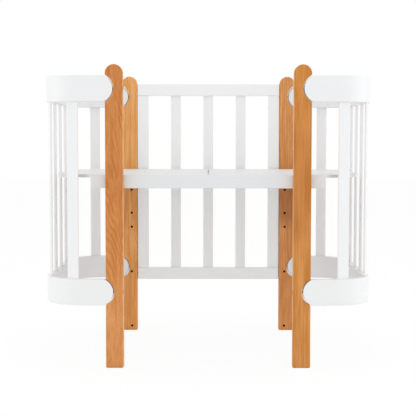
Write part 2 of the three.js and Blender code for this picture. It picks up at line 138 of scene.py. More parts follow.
def turned(bm, profile, start, direction, sides=BORE_SIDES):
    """Adds a closed body turned about a level axis: rows are distance along it and radius.

    A radius may be a function of the angle, for sockets, flutes and threads.
    """
    axis = Vector(direction)
    across = Vector((0, 0, 1))
    beside = axis.cross(across)
    rings = []
    for distance, radius in profile:
        ring = []
        for i in range(sides):
            angle = 2 * math.pi * i / sides
            reach = radius(angle) if callable(radius) else radius
            spoke = across * math.cos(angle) + beside * math.sin(angle)
            ring.append(bm.verts.new(Vector(start) + axis * distance + spoke * reach))
        rings.append(ring)
    for low, high in zip(rings, rings[1:]):
        for i in range(sides):
            j = (i + 1) % sides
            bm.faces.new((low[i], low[j], high[j], high[i]))
    bm.faces.new(list(reversed(rings[0])))
    bm.faces.new(rings[-1])
    return bm


def cut(piece, cutters):
    """Cuts one closed body, or several apart from each other, out of a piece."""
    tool = new_piece(piece.name + "_cutter", cutters)
    step = piece.modifiers.new("cut", "BOOLEAN")
    step.operation = "DIFFERENCE"
    step.solver = "EXACT"
    step.object = tool
    seen = piece.evaluated_get(bpy.context.evaluated_depsgraph_get())
    done = bpy.data.meshes.new_from_object(seen)
    piece.modifiers.clear()
    piece.data = done
    bpy.data.objects.remove(tool)


def dress(piece, material, body, slot, *nodes):
    """Smooths a finished piece, gives it its finish and hands it to its body."""
    piece.data.materials.clear()
    piece.data.materials.append(material)
    for face in piece.data.polygons:
        face.use_smooth = True
    piece.data.set_sharp_from_angle(angle=SHARP_ANGLE)
    even = piece.modifiers.new("even", "WEIGHTED_NORMAL")
    even.keep_sharp = True
    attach(piece, body)
    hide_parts(*nodes)


class Finish:
    """A procedural material under construction: its nodes and links in short calls."""

    def __init__(self, name):
        self.material = bpy.data.materials.new(name)
        self.material.use_nodes = True
        self.nodes = self.material.node_tree.nodes
        self.links = self.material.node_tree.links
        self.shader = self.nodes["Principled BSDF"]

    def node(self, kind, **settings):
        made = self.nodes.new("ShaderNode" + kind)
        for key, value in settings.items():
            setattr(made, key, value)
        return made

    def feed(self, socket, entry):
        """Links another node's output to a socket, or sets the socket's own value."""
        if isinstance(entry, bpy.types.NodeSocket):
            self.links.new(entry, socket)
        elif socket.type == "RGBA":
            socket.default_value = (*entry, 1)
        else:
            socket.default_value = entry

    def set(self, node, **values):
        for key, value in values.items():
            self.feed(node.inputs[key.replace("_", " ")], value)

    def place(self, stretch=(1, 1, 1), shift=(0, 0, 0), turn=(0, 0, 0)):
        """Coordinates of the piece itself, in metres, turned, shifted and stretched."""
        here = self.node("TexCoord").outputs["Object"]
        turned_by = self.node("Mapping")
        self.set(turned_by, Vector=here, Location=shift, Rotation=turn)
        stretched = self.node("Mapping")
        self.set(stretched, Vector=turned_by.outputs["Vector"], Scale=stretch)
        return stretched.outputs["Vector"]

    def axis(self, vector, letter):
        """One coordinate of a vector."""
        made = self.node("SeparateXYZ")
        self.set(made, Vector=vector)
        return made.outputs[letter]

    def noise(self, vector, detail=2.0, roughness=0.5):
        made = self.node("TexNoise")
        self.set(made, Vector=vector, Scale=1.0, Detail=detail, Roughness=roughness)
        return made.outputs["Fac"]

    def ramp(self, value, low, high, to_low=0.0, to_high=1.0):
        """A value between low and high, eased to between to_low and to_high."""
        made = self.node("MapRange", interpolation_type="SMOOTHSTEP")
        self.set(made, Value=value, From_Min=low, From_Max=high, To_Min=to_low, To_Max=to_high)
        return made.outputs["Result"]

    def mix(self, share, first, second, how="MIX"):
        """Blends two colours: these are the places of a mix node's share and colours."""
        made = self.node("Mix", data_type="RGBA", blend_type=how)
        for index, entry in ((0, share), (6, first), (7, second)):
            self.feed(made.inputs[index], entry)
        return made.outputs[2]

    def reckon(self, operation, *entries):
        """One step of arithmetic on values."""
        made = self.node("Math", operation=operation)
        for socket, entry in zip(made.inputs, entries):
            self.feed(socket, entry)
        return made.outputs[0]

    def bump(self, height, strength, distance):
        made = self.node("Bump")
        self.set(made, Height=height, Strength=strength, Distance=distance)
        self.set(self.shader, Normal=made.outputs["Normal"])

    def colour(self, value):
        self.set(self.shader, Base_Color=value)

    def roughness(self, value):
        self.set(self.shader, Roughness=value)


def beech(
    name, light, dark, pith, lean, ring_share, run, low_tone, low_reach, wood_and_shade_band, wood_and_shade_tone, edge_highlight_tone
):
    """Lacquered beech: growth rings round a leaning pith, streaks, fibre and short flecks.

    light and dark are the early and late wood, pith the place of the tree's heart from the
    board, and lean its tilt. ring_share is how strongly the rings show, in patches and
    fainter towards the foot, and run how many streaks follow each other in a metre. Below
    the height low_reach the board turns by and by to its own colour times low_tone.
    wood_and_shade_band is the lowest and highest point of a darker stretch at the base
    frame's height, partly darker wood and partly painted shade from the base, and
    wood_and_shade_tone its tone. The narrow sides and eased corners are painted paler by
    edge_highlight_tone, a painted highlight where they catch the side light.
    """
    finish = Finish(name)
    height = finish.axis(finish.place(), "Z")

    spread = finish.node("VectorMath", operation="SCALE")
    warp = finish.noise(finish.place(WARP_RATE, pith), roughness=0.45)
    finish.set(spread, Vector=warp, Scale=RING_WARP)
    bent = finish.node("VectorMath", operation="ADD")
    finish.feed(bent.inputs[0], finish.place(shift=pith, turn=lean))
    finish.feed(bent.inputs[1], spread.outputs[0])
    rings = finish.node("TexWave", wave_type="RINGS", rings_direction="Z", wave_profile="SIN")
    finish.set(
        rings, Vector=bent.outputs[0], Scale=2 * math.pi / (WAVE_RATE * RING_GAP),
        Distortion=2.2, Detail=3.0, Detail_Scale=0.6, Detail_Roughness=0.6,
    )
    patch = finish.noise(finish.place(PATCH_RATE, pith))
    ring_fade = finish.ramp(patch, 0.40, 0.62, 0.15 * ring_share, 1.6 * ring_share)
    foot_fade = finish.ramp(height, *RING_FADE_HEIGHTS, 0.35, 1.0)
    ring_fade = finish.reckon("MULTIPLY", ring_fade, foot_fade)
    late_wood = finish.ramp(rings.outputs["Fac"], 0.30, 0.95)
    ring_tone = finish.reckon("MULTIPLY", late_wood, ring_fade)

    along = Vector((1, 1, run))
    fibre = finish.noise(finish.place(along * Vector(FIBRE_RATE), pith), 3.0, 0.6)
    streak = finish.noise(finish.place(along * Vector(STREAK_RATE), pith), 3.0, 0.6)
    cloud = finish.noise(finish.place(CLOUD_RATE, pith))
    fibre_tone = finish.ramp(fibre, 0.34, 0.68, 0.0, 0.30)
    streak_tone = finish.ramp(streak, 0.36, 0.66, 0.0, 0.55)
    cloud_tone = finish.ramp(cloud, 0.36, 0.66, 0.0, 0.30)
    fine_tone = finish.reckon("ADD", ring_tone, fibre_tone)
    broad_tone = finish.reckon("ADD", streak_tone, cloud_tone)
    wood = finish.mix(finish.reckon("ADD", fine_tone, broad_tone), light, dark)

    low_end = finish.ramp(height, LOW_TONE_HEIGHT, low_reach, 1.0, 0.0)
    wood = finish.mix(low_end, wood, low_tone, "MULTIPLY")
    # A darker stretch by height: partly darker wood, partly painted shade cast by the base frame.
    band_low, band_high = wood_and_shade_band
    above = finish.ramp(height, band_low - BAND_FADE, band_low + BAND_FADE)
    below = finish.ramp(height, band_high - BAND_FADE, band_high + BAND_FADE, 1.0, 0.0)
    wood = finish.mix(finish.reckon("MULTIPLY", above, below), wood, wood_and_shade_tone, "MULTIPLY")
    fleck = finish.noise(finish.place(FLECK_RATE, pith), 1.0)
    dark_fleck = tuple(0.62 * channel for channel in dark)
    wood = finish.mix(finish.ramp(fleck, 0.66, 0.74, 0.0, 0.5), wood, dark_fleck)
    # Faces that turn along X, the narrow sides and eased corners, are painted paler: a painted
    # highlight where they catch the side light.
    facing = finish.axis(finish.node("TexCoord").outputs["Normal"], "X")
    edge_highlight_share = finish.ramp(finish.reckon("ABSOLUTE", facing), 0.10, 0.75)
    finish.colour(finish.mix(edge_highlight_share, wood, edge_highlight_tone, "MULTIPLY"))
    finish.roughness(finish.ramp(fibre, 0.3, 0.7, 0.36, 0.46))
    finish.bump(fibre, 0.12, WOOD_RELIEF)
    finish.set(finish.shader, Specular_IOR_Level=0.35, Coat_Weight=0.12, Coat_Roughness=0.2)
    return finish.material


def end_grain(name, tone):
    """Sawn or drilled beech: cut across the fibre it takes up more lacquer and turns darker."""
    finish = Finish(name)
    pores = finish.noise(finish.place(PORE_RATE), roughness=0.6)
    deeper = tuple(0.60 * channel for channel in tone)
    finish.colour(finish.mix(finish.ramp(pores, 0.35, 0.68), tone, deeper))
    finish.roughness(finish.ramp(pores, 0.3, 0.7, 0.55, 0.70))
    finish.bump(pores, 0.2, WOOD_RELIEF)
    finish.set(finish.shader, Specular_IOR_Level=0.25)
    return finish.material


bow_middle, bow_size = middle_and_size("bow_top_right")
low_bow_middle, _ = middle_and_size("bow_bottom_right")
nose_tip = bow_middle.x - bow_size.x / 2
nose_radius = ((bow_size.z / 2) ** 2 + NOSE_BULGE ** 2) / (2 * NOSE_BULGE)
nose_centre = nose_tip + nose_radius
bow_line = (bow_size.y - BOW_THICKNESS) / 2
bow_rise = bow_middle.z - low_bow_middle.z
levels = [low_bow_middle.z + share * bow_rise for share in LEVEL_SHARES]
drilled_heights = [*levels, low_bow_middle.z - LOWEST_LEVEL_DROP, FOOT_HOLE_RISE]
panel_rails = ("panel_top_rail", "panel_bottom_rail")
panel_rail_heights = [middle_and_size(rail)[0].z for rail in panel_rails]


def post_outline(half_width, height, centre_x):
    """Outline of a right-hand post, seen from the front, about its own middle line."""
    foot = POST_FOOT_ROUND
    notch = nose_radius + NOTCH_GAP
    notch_x = nose_centre - centre_x
    swing = math.acos((notch_x - half_width) / notch)
    straight_down = 1.5 * HALF_TURN
    points = arc(-half_width + foot, foot, foot, HALF_TURN, straight_down, POST_FOOT_STEPS)
    points += arc(half_width - foot, foot, foot, straight_down, 2 * HALF_TURN, POST_FOOT_STEPS)
    for z in (low_bow_middle.z, bow_middle.z):
        points += arc(notch_x, z, notch, HALF_TURN + swing, HALF_TURN - swing, NOTCH_STEPS)
    points += arc(0, height - half_width, half_width, 0, HALF_TURN, POST_TOP_STEPS)
    return points


def plain_hole(depth, radius):
    """Rows of a drilled hole with an eased mouth at zero."""
    mouth = radius + BORE_EASE
    return [(-OVERRUN, mouth), (0, mouth), (BORE_EASE, radius), (depth, radius)]


def near_axis(point, start, direction, reach):
    """Whether a point lies within reach of the line through start along a unit direction."""
    away = point - Vector(start)
    along = Vector(direction) * away.dot(Vector(direction))
    return (away - along).length < reach


saw_cut = end_grain("beech_saw_cut", (0.46, 0.20, 0.065))
# The drilled walls are near black: end grain darkens a little, and the rest is painted shade deep
# in the holes.
drill_cut_and_shade = end_grain("beech_drill_cut", (0.045, 0.018, 0.006))

# The four boards come from different trees and differ a little. Their darker bands near the base
# hold painted shade as well as darker wood.
post_boards = {
    "post_front_left": beech(
        "beech_front_left", light=(0.675, 0.268, 0.068), dark=(0.515, 0.165, 0.022),
        pith=(0.262, 0.262, 0.35), lean=(0.10, 0.030, 0), ring_share=0.46, run=15,
        low_tone=(1.10, 1.24, 1.70), low_reach=0.42,
        wood_and_shade_band=(0.50, 0.58), wood_and_shade_tone=(0.93, 0.89, 0.80), edge_highlight_tone=(1.28, 1.50, 1.75),
    ),
    "post_front_right": beech(
        "beech_front_right", light=(0.710, 0.290, 0.064), dark=(0.510, 0.175, 0.010),
        pith=(-0.22, 0.34, 0.1), lean=(0.012, -0.010, 0), ring_share=0.28, run=5,
        low_tone=(0.98, 1.02, 1.25), low_reach=0.60,
        wood_and_shade_band=(0.38, 0.68), wood_and_shade_tone=(0.88, 0.82, 0.68), edge_highlight_tone=(1.18, 1.26, 1.35),
    ),
    "post_back_left": beech(
        "beech_back_left", light=(0.900, 0.455, 0.158), dark=(0.660, 0.265, 0.055),
        pith=(0.33, -0.20, 0.6), lean=(0.010, 0.014, 0), ring_share=0.32, run=4,
        low_tone=(0.97, 0.91, 0.84), low_reach=0.66,
        wood_and_shade_band=(0.36, 0.54), wood_and_shade_tone=(0.93, 0.90, 0.86), edge_highlight_tone=(1.10, 1.12, 1.15),
    ),
    "post_back_right": beech(
        "beech_back_right", light=(0.840, 0.395, 0.132), dark=(0.570, 0.216, 0.053),
        pith=(-0.21, -0.36, 0.9), lean=(0.022, -0.020, 0), ring_share=0.40, run=9,
        low_tone=(0.95, 0.87, 0.79), low_reach=0.80,
        wood_and_shade_band=(0.37, 0.54), wood_and_shade_tone=(0.68, 0.59, 0.50), edge_highlight_tone=(1.10, 1.12, 1.15),
    ),
}
for name, wood in post_boards.items():
    middle, size = middle_and_size(name)
    side_x = math.copysign(1, middle.x)
    side_y = math.copysign(1, middle.y)
    outline = post_outline(size.x / 2, size.z, abs(middle.x))
    front = middle.y - size.y / 2
    board = slab(
        outline,
        lambda u, v: (middle.x + side_x * u, front, v),
        Vector((0, size.y, 0)),
    )
    post = new_piece(name + "_board", board, POST_EDGE_ROUND, POST_EDGE_STEPS)

    holes = bmesh.new()
    axes = []
    inner_edge = middle.x - side_x * size.x / 2
    bolt_hole = plain_hole(BOLT_HEAD_RECESS, BOLT_HEAD_BORE)
    bolt_hole += [(BOLT_HEAD_RECESS, BOLT_BORE), (size.x - OVERRUN, BOLT_BORE)]
    for z in (low_bow_middle.z, bow_middle.z):
        start = (inner_edge, side_y * bow_line, z)
        turned(holes, bolt_hole, start, (side_x, 0, 0))
        axes.append((start, (side_x, 0, 0), BOLT_HEAD_BORE))
    inner_face = middle.y - side_y * size.y / 2
    hole_x = middle.x - side_x * LEVEL_HOLE_OFFSET
    level_hole = plain_hole(LEVEL_HOLE_DEPTH, LEVEL_HOLE_BORE)
    for z in drilled_heights:
        start = (hole_x, inner_face, z)
        turned(holes, level_hole, start, (0, side_y, 0))
        axes.append((start, (0, side_y, 0), LEVEL_HOLE_BORE))
    if side_y > 0:
        dowel_hole = plain_hole(DOWEL_DEPTH, DOWEL_BORE)
        for z in panel_rail_heights:
            start = (inner_edge, middle.y, z)
            turned(holes, dowel_hole, start, (side_x, 0, 0))
            axes.append((start, (side_x, 0, 0), DOWEL_BORE))
    cut(post, holes)
    dress(post, wood, "stand", "beech", name)
    post.data.materials.append(saw_cut)
    post.data.materials.append(drill_cut_and_shade)
    sawn = post.data.materials.find(saw_cut.name)
    drilled = post.data.materials.find(drill_cut_and_shade.name)
    for face in post.data.polygons:
        off_face = size.y / 2 - abs(face.center.y - middle.y)
        off_edge = size.x / 2 - abs(face.center.x - middle.x)
        if min(off_face, off_edge) < SKIN:
            continue
        # Bore walls get the near black drilled finish, which holds painted shade.
        if any(near_axis(face.center, *axis) for axis in axes):
            face.material_index = drilled
        elif off_face > POST_EDGE_ROUND and off_edge > POST_EDGE_ROUND:
            face.material_index = sawn

# Bows
# Four bands of bent plywood under white lacquer, two at each end, one above the other.
# Each runs round from the front post to the back post, and both its ends are sawn to a
# round nose that sits in the post's notch, drawn home by a bolt. Slats stand in mortises.
BOW_CORNER_ROUND = 0.115
BOW_EDGE_ROUND = 0.0025
BOW_CORNER_STEPS = 36
NOSE_STEPS = 32
MORTISE_DEPTH = 0.020
FIT = 0.0003
INSERT_BORE = 0.0053
INSERT_BORE_DEPTH = 0.0163
NOSE_BORE_DEPTH = 0.026
END_SLATS = 7
SLAT_EDGE_ROUND = 0.003
SLAT_EDGE_STEPS = 6
PEEL_RATE = (420, 420, 420)
SHADE_RATE = (7, 7, 7)
LACQUER_RELIEF = 0.00025

slat_size = middle_and_size("panel_slat_1")[1]
bow_corner_x = bow_middle.x + bow_size.x / 2 - BOW_CORNER_ROUND
bow_corner_y = bow_size.y / 2 - BOW_CORNER_ROUND


def white_lacquer(name, tone, stretch, depth=0.06):
    """Satin white lacquer on wood: the grain just shows through as faint long waves.

    stretch is how often the grain repeats in a metre along X, Y and Z, and depth how
    strongly its relief shows.
    """
    finish = Finish(name)
    grain = finish.noise(finish.place(stretch), 3.0, 0.55)
    orange_peel = finish.noise(finish.place(PEEL_RATE), 1.0)
    shade = finish.noise(finish.place(SHADE_RATE))
    red, green, blue = tone
    dull = (0.975 * red, 0.975 * green, 0.975 * blue)
    warm = (0.99 * red, 0.985 * green, 0.97 * blue)
    colour = finish.mix(finish.ramp(grain, 0.35, 0.70, 0.0, 0.5), tone, dull)
    finish.colour(finish.mix(finish.ramp(shade, 0.40, 0.75, 0.0, 0.4), colour, warm))
    finish.roughness(finish.ramp(orange_peel, 0.3, 0.7, 0.36, 0.44))
    finish.bump(finish.reckon("ADD", grain, orange_peel), depth, LACQUER_RELIEF)
    finish.set(finish.shader, Specular_IOR_Level=0.45, Coat_Weight=0.10, Coat_Roughness=0.25)
    return finish.material


def slat_outline(width, thickness, edge):
    """Section of a slat about its own middle, its edges rounded."""
    x = width / 2 - edge
    y = thickness / 2 - edge
    points = arc(x, -y, edge, -QUARTER_TURN, 0, SLAT_EDGE_STEPS)
    points += arc(x, y, edge, 0, QUARTER_TURN, SLAT_EDGE_STEPS)
    points += arc(-x, y, edge, QUARTER_TURN, HALF_TURN, SLAT_EDGE_STEPS)
    points += arc(-x, -y, edge, HALF_TURN, 1.5 * HALF_TURN, SLAT_EDGE_STEPS)
    return points


def slat_place(node):
    """Place and size of an end slat, and its turn about the vertical to stand square on the bow."""
    middle, size = middle_and_size(node)
    across = max(0.0, abs(middle.x) - bow_corner_x)
    along = max(0.0, abs(middle.y) - bow_corner_y)
    turn = math.copysign(math.atan2(across, along), -middle.x * middle.y)
    return middle, size, turn


def mortise_span(middle, size, side, depth):
    """Lowest and highest point of a mortise's cutter: side is 1 for the top, -1 for below."""
    opening = middle.z + side * (size.z / 2 + OVERRUN)
    bottom = middle.z + side * (size.z / 2 - depth)
    return sorted((opening, bottom))


def add_slat_body(bm, middle, turn, low, high, spare=0.0):
    """Adds an upright slat, or the cutter of its mortise when spare is given."""
    width = slat_size.x + 2 * spare
    thickness = slat_size.y + 2 * spare
    outline = slat_outline(width, thickness, SLAT_EDGE_ROUND + spare)
    spin = Matrix.Rotation(turn, 3, "Z")
    body = slab(
        outline,
        lambda u, v: spin @ Vector((u, v, 0)) + Vector((middle.x, middle.y, low)),
        Vector((0, 0, high - low)),
    )
    mesh = bpy.data.meshes.new("slat_body")
    body.to_mesh(mesh)
    body.free()
    bm.from_mesh(mesh)
    bpy.data.meshes.remove(mesh)


def bow_band(side_x, z):
    """The closed band: stations round its corners, and a nose face at both its ends."""
    bm = bmesh.new()
    half = bow_size.z / 2
    stations = []
    for centre_y, start in ((-bow_corner_y, -QUARTER_TURN), (bow_corner_y, 0)):
        sweep = (start, start + QUARTER_TURN, BOW_CORNER_STEPS)
        outer = arc(bow_corner_x, centre_y, BOW_CORNER_ROUND, *sweep)
        inner = arc(bow_corner_x, centre_y, BOW_CORNER_ROUND - BOW_THICKNESS, *sweep)
        for (ox, oy), (ix, iy) in zip(outer, inner):
            stations.append([
                bm.verts.new((side_x * ox, oy, z - half)),
                bm.verts.new((side_x * ox, oy, z + half)),
                bm.verts.new((side_x * ix, iy, z + half)),
                bm.verts.new((side_x * ix, iy, z - half)),
            ])
    for here, there in zip(stations, stations[1:]):
        for i in range(4):
            j = (i + 1) % 4
            bm.faces.new((here[i], here[j], there[j], there[i]))
    swing = math.asin(half / nose_radius)
    nose = arc(nose_centre, z, nose_radius, HALF_TURN + swing, HALF_TURN - swing, NOSE_STEPS)
    for station, sign in ((stations[0], -1), (stations[-1], 1)):
        outer_y = sign * bow_size.y / 2
        inner_y = sign * (bow_size.y / 2 - BOW_THICKNESS)
        outer = [bm.verts.new((side_x * u, outer_y, v)) for u, v in nose]
        inner = [bm.verts.new((side_x * u, inner_y, v)) for u, v in nose]
        bm.faces.new([station[0], *outer, station[1]])
        bm.faces.new([station[3], *inner, station[2]])
        bm.faces.new((station[0], outer[0], inner[0], station[3]))
        bm.faces.new((station[1], outer[-1], inner[-1], station[2]))
        for i in range(NOSE_STEPS):
            bm.faces.new((outer[i], outer[i + 1], inner[i + 1], inner[i]))
    return bm


bow_white = white_lacquer("lacquer_bow", (0.840, 0.848, 0.855), (5, 5, 260))
for level, mortise_side in (("top", -1), ("bottom", 1)):
    for side, side_x in (("left", -1), ("right", 1)):
        name = f"bow_{level}_{side}"
        middle, size = middle_and_size(name)
        bow = new_piece(name + "_band", bow_band(side_x, middle.z), BOW_EDGE_ROUND)
        pockets = bmesh.new()
        low, high = mortise_span(middle, size, mortise_side, MORTISE_DEPTH)
        for number in range(1, END_SLATS + 1):
            place, _, turn = slat_place(f"end_slat_{side}_{number}")
            add_slat_body(pockets, place, turn, low, high, FIT)
        for side_y in (-1, 1):
            nose_bore = [
                (-OVERRUN, INSERT_BORE), (INSERT_BORE_DEPTH, INSERT_BORE),
                (INSERT_BORE_DEPTH, BOLT_BORE), (NOSE_BORE_DEPTH, BOLT_BORE),
            ]
            tip = (side_x * nose_tip, side_y * bow_line, middle.z)
            turned(pockets, nose_bore, tip, (side_x, 0, 0))
        cut(bow, pockets)
        dress(bow, bow_white, "stand", "white_lacquer", name)

# End slats
# Seven flat beech slats at each end, sprayed white, with well rounded edges. They stand
# upright between the two bows, glued into the mortises, square to the bows' line.
SLAT_RIM_ROUND = 0.0005
SLAT_RIM_STEPS = 1

slat_white = white_lacquer("lacquer_slat", (0.860, 0.868, 0.877), (160, 160, 4), 0.02)
for side in ("left", "right"):
    for number in range(1, END_SLATS + 1):
        name = f"end_slat_{side}_{number}"
        middle, size, turn = slat_place(name)
        bar = bmesh.new()
        add_slat_body(bar, middle, turn, middle.z - size.z / 2, middle.z + size.z / 2)
        slat = new_piece(name + "_bar", bar, SLAT_RIM_ROUND, SLAT_RIM_STEPS)
        dress(slat, slat_white, "stand", "white_lacquer", name)

# Back panel
# A white frame closes the back between the two back posts. The top and bottom rails run
# the full width, the stiles butt between them, and three slats stand in mortises.
PANEL_SLATS = 3
PANEL_EDGE_ROUND = 0.0018
PANEL_MORTISE_DEPTH = 0.012
PANEL_CLEARANCE = 0.0009
RAIL_DOWEL_DEPTH = 0.0223


def squared_bar(middle, size):
    """A plain squared bar about its middle."""
    x = size.x / 2
    y = size.y / 2
    return slab(
        [(-x, -y), (x, -y), (x, y), (-x, y)],
        lambda u, v: (middle.x + u, middle.y + v, middle.z - size.z / 2),
        Vector((0, 0, size.z)),
    )


panel_white_level = white_lacquer("lacquer_panel_rail", (0.899, 0.908, 0.914), (5, 240, 240))
panel_white_upright = white_lacquer("lacquer_panel_stile", (0.884, 0.897, 0.901), (240, 240, 5))
for name, mortise_side in (("panel_top_rail", -1), ("panel_bottom_rail", 1)):
    middle, size = middle_and_size(name)
    size.x -= 2 * PANEL_CLEARANCE
    rail = new_piece(name + "_bar", squared_bar(middle, size), PANEL_EDGE_ROUND)
    pockets = bmesh.new()
    low, high = mortise_span(middle, size, mortise_side, PANEL_MORTISE_DEPTH)
    for number in range(1, PANEL_SLATS + 1):
        place, _ = middle_and_size(f"panel_slat_{number}")
        add_slat_body(pockets, place, 0.0, low, high, FIT)
    for side_x in (-1, 1):
        dowel_bore = [(-RAIL_DOWEL_DEPTH, DOWEL_BORE), (OVERRUN, DOWEL_BORE)]
        end = (side_x * size.x / 2, middle.y, middle.z)
        turned(pockets, dowel_bore, end, (side_x, 0, 0))
    cut(rail, pockets)
    dress(rail, panel_white_level, "stand", "white_lacquer", name)
for name, side_x in (("panel_stile_left", -1), ("panel_stile_right", 1)):
    middle, size = middle_and_size(name)
    size.x -= PANEL_CLEARANCE
    middle.x -= side_x * PANEL_CLEARANCE / 2
    stile = new_piece(name + "_bar", squared_bar(middle, size), PANEL_EDGE_ROUND)
    dress(stile, panel_white_upright, "stand", "white_lacquer", name)
for number in range(1, PANEL_SLATS + 1):
    name = f"panel_slat_{number}"
    middle, size = middle_and_size(name)
    bar = bmesh.new()
    add_slat_body(bar, middle, 0.0, middle.z - size.z / 2, middle.z + size.z / 2)
    slat = new_piece(name + "_bar", bar, SLAT_RIM_ROUND, SLAT_RIM_STEPS)
    dress(slat, panel_white_upright, "stand", "white_lacquer", name)

# Panel dowels
# Four fluted dowels of bare beech join the panel's rails to the back posts. The flutes
# let the glue out, and both ends are chamfered so that the dowel finds its hole.
DOWEL_CHAMFER = 0.0008
DOWEL_FLUTES = 14
DOWEL_FLUTE_DEPTH = 0.00025
DOWEL_SIDES = 56
DOWEL_FIBRE_RATE = (30, 900, 900)


def bare_beech(name):
    """Dry unfinished beech with open grain along the dowel."""
    finish = Finish(name)
    fibre = finish.noise(finish.place(DOWEL_FIBRE_RATE), 3.0, 0.6)
    late_wood = finish.ramp(fibre, 0.35, 0.68)
    finish.colour(finish.mix(late_wood, (0.68, 0.46, 0.26), (0.52, 0.31, 0.15)))
    finish.roughness(finish.ramp(fibre, 0.3, 0.7, 0.62, 0.75))
    finish.bump(fibre, 0.3, WOOD_RELIEF)
    return finish.material


def fluted(crest):
    """Radius of a fluted dowel round its axis."""
    def radius(angle):
        return crest - DOWEL_FLUTE_DEPTH * (1 + math.cos(DOWEL_FLUTES * angle)) / 2
    return radius


dowel_wood = bare_beech("beech_dowel")
for level in ("top", "bottom"):
    for side in ("left", "right"):
        name = f"panel_dowel_{level}_{side}"
        middle, size = middle_and_size(name)
        crest = size.z / 2
        rows = [
            (0, crest - DOWEL_CHAMFER), (DOWEL_CHAMFER, fluted(crest)),
            (size.x - DOWEL_CHAMFER, fluted(crest)), (size.x, crest - DOWEL_CHAMFER),
        ]
        end = (middle.x - size.x / 2, middle.y, middle.z)
        rod = turned(bmesh.new(), rows, end, (1, 0, 0), DOWEL_SIDES)
        dowel = new_piece(name + "_rod", rod)
        dress(dowel, dowel_wood, "stand", "bare_beech", name)

# Base frame
# The frame that carries the mattress: two long white rails against the inner faces of the
# posts, and three cross rails between them, set down by the thickness of the board.
RAIL_EDGE_ROUND = 0.002
RAIL_WHITE = (0.747, 0.766, 0.778)

rail_white_level = white_lacquer("lacquer_rail", RAIL_WHITE, (5, 240, 240))
rail_white_cross = white_lacquer("lacquer_cross_rail", RAIL_WHITE, (240, 5, 240))
bolt_x = abs(middle_and_size("base_bolt_front_right")[0].x)
for name in ("base_front_rail", "base_back_rail"):
    middle, size = middle_and_size(name)
    rail = new_piece(name + "_bar", squared_bar(middle, size), RAIL_EDGE_ROUND)
    bores = bmesh.new()
    through = [(-size.y / 2 - OVERRUN, BOLT_BORE), (size.y / 2 + OVERRUN, BOLT_BORE)]
    for side_x in (-1, 1):
        turned(bores, through, (side_x * bolt_x, middle.y, middle.z), (0, 1, 0))
    cut(rail, bores)
    dress(rail, rail_white_level, "base", "white_lacquer", name)
for name in ("base_end_rail_left", "base_centre_rail", "base_end_rail_right"):
    middle, size = middle_and_size(name)
    rail = new_piece(name + "_bar", squared_bar(middle, size), RAIL_EDGE_ROUND)
    dress(rail, rail_white_cross, "base", "white_lacquer", name)

# Mattress board
# Two halves of white faced fibreboard lie on the cross rails, flush with the tops of the
# long rails. Their outer ends are sawn to the curve of the bows. The sawn edge is primed
# white, with painted shade where the curve begins.
BOARD_CORNER_ROUND = 0.115
BOARD_CORNER_STEPS = 32
BOARD_EDGE_ROUND = 0.0006
BOARD_EDGE_STEPS = 2
SAWN_EDGE_SLOPE = 0.5
# Painted shade on the sawn edge: from the middle it turns grey over the first span along X and back
# to white over the second.
PAINTED_SHADE_START = (0.338, 0.360)
PAINTED_SHADE_END = (0.385, 0.405)
TOOTH_RATE = (700, 700, 700)
BOARD_SHADE_RATE = (6, 6, 6)
SAW_MARK_RATE = (900, 900, 260)
SAWN_RELIEF = 0.0003


def white_board(name):
    """White facing on fibreboard with a fine even tooth."""
    finish = Finish(name)
    tooth = finish.noise(finish.place(TOOTH_RATE))
    shade = finish.noise(finish.place(BOARD_SHADE_RATE), 3.0)
    deeper = finish.ramp(shade, 0.35, 0.70)
    finish.colour(finish.mix(deeper, (0.752, 0.758, 0.750), (0.732, 0.738, 0.727)))
    finish.roughness(finish.ramp(tooth, 0.3, 0.7, 0.42, 0.52))
    finish.bump(tooth, 0.08, WOOD_RELIEF)
    return finish.material


def sawn_edge(name):
    """Sawn edge of the fibreboard, primed and not faced, with saw marks across it.

    Where the curve begins beside the rails' ends it is painted grey: painted shade.
    """
    finish = Finish(name)
    fuzz = finish.noise(finish.place(SAW_MARK_RATE), 3.0, 0.7)
    marks = finish.ramp(fuzz, 0.3, 0.7)
    # The grey is painted shade, laid on the edge where the curve begins.
    shade_grey = finish.mix(marks, (0.59, 0.585, 0.57), (0.53, 0.525, 0.51))
    white = finish.mix(marks, (0.86, 0.85, 0.84), (0.80, 0.79, 0.78))
    from_middle = finish.reckon("ABSOLUTE", finish.axis(finish.place(), "X"))
    edge_with_painted_shade = finish.mix(finish.ramp(from_middle, *PAINTED_SHADE_START), white, shade_grey)
    finish.colour(finish.mix(finish.ramp(from_middle, *PAINTED_SHADE_END), edge_with_painted_shade, white))
    finish.roughness(finish.ramp(fuzz, 0.3, 0.7, 0.6, 0.8))
    finish.bump(fuzz, 0.3, SAWN_RELIEF)
    return finish.material


